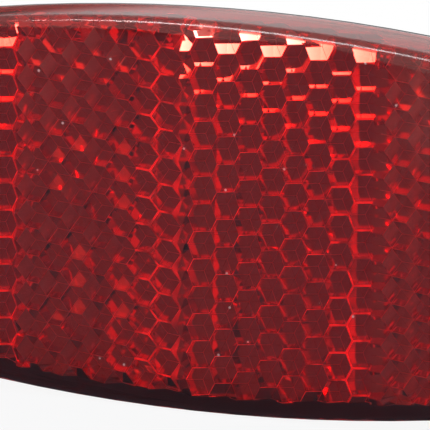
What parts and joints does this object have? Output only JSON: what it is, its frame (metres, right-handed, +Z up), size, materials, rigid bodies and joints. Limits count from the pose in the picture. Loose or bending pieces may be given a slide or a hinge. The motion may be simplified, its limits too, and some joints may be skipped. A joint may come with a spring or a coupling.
{
  "type": "bicycle rear reflector",
  "caption": "Wide red prism reflector with bowed edges, a black back housing and two threaded studs for a luggage rack.",
  "frame": {"origin": "on the mounting plane of the two bosses, midway between the studs", "axes": "+Y along the studs, away from the lens, which faces -Y; +X to the right seen from the front; +Z up"},
  "size_m": [0.098, 0.0259, 0.034],
  "materials": {
    "red_lens": "clear red, polished",
    "black_housing": "fine moulded texture",
    "zinc_steel": "bright zinc plate"
  },
  "bodies": {
    "root": {"lens": "red_lens", "back_housing": "black_housing", "left_stud": "zinc_steel", "right_stud": "zinc_steel", "left_washer": "zinc_steel", "right_washer": "zinc_steel", "left_nut": "zinc_steel", "right_nut": "zinc_steel"}
  },
  "joints": []
}
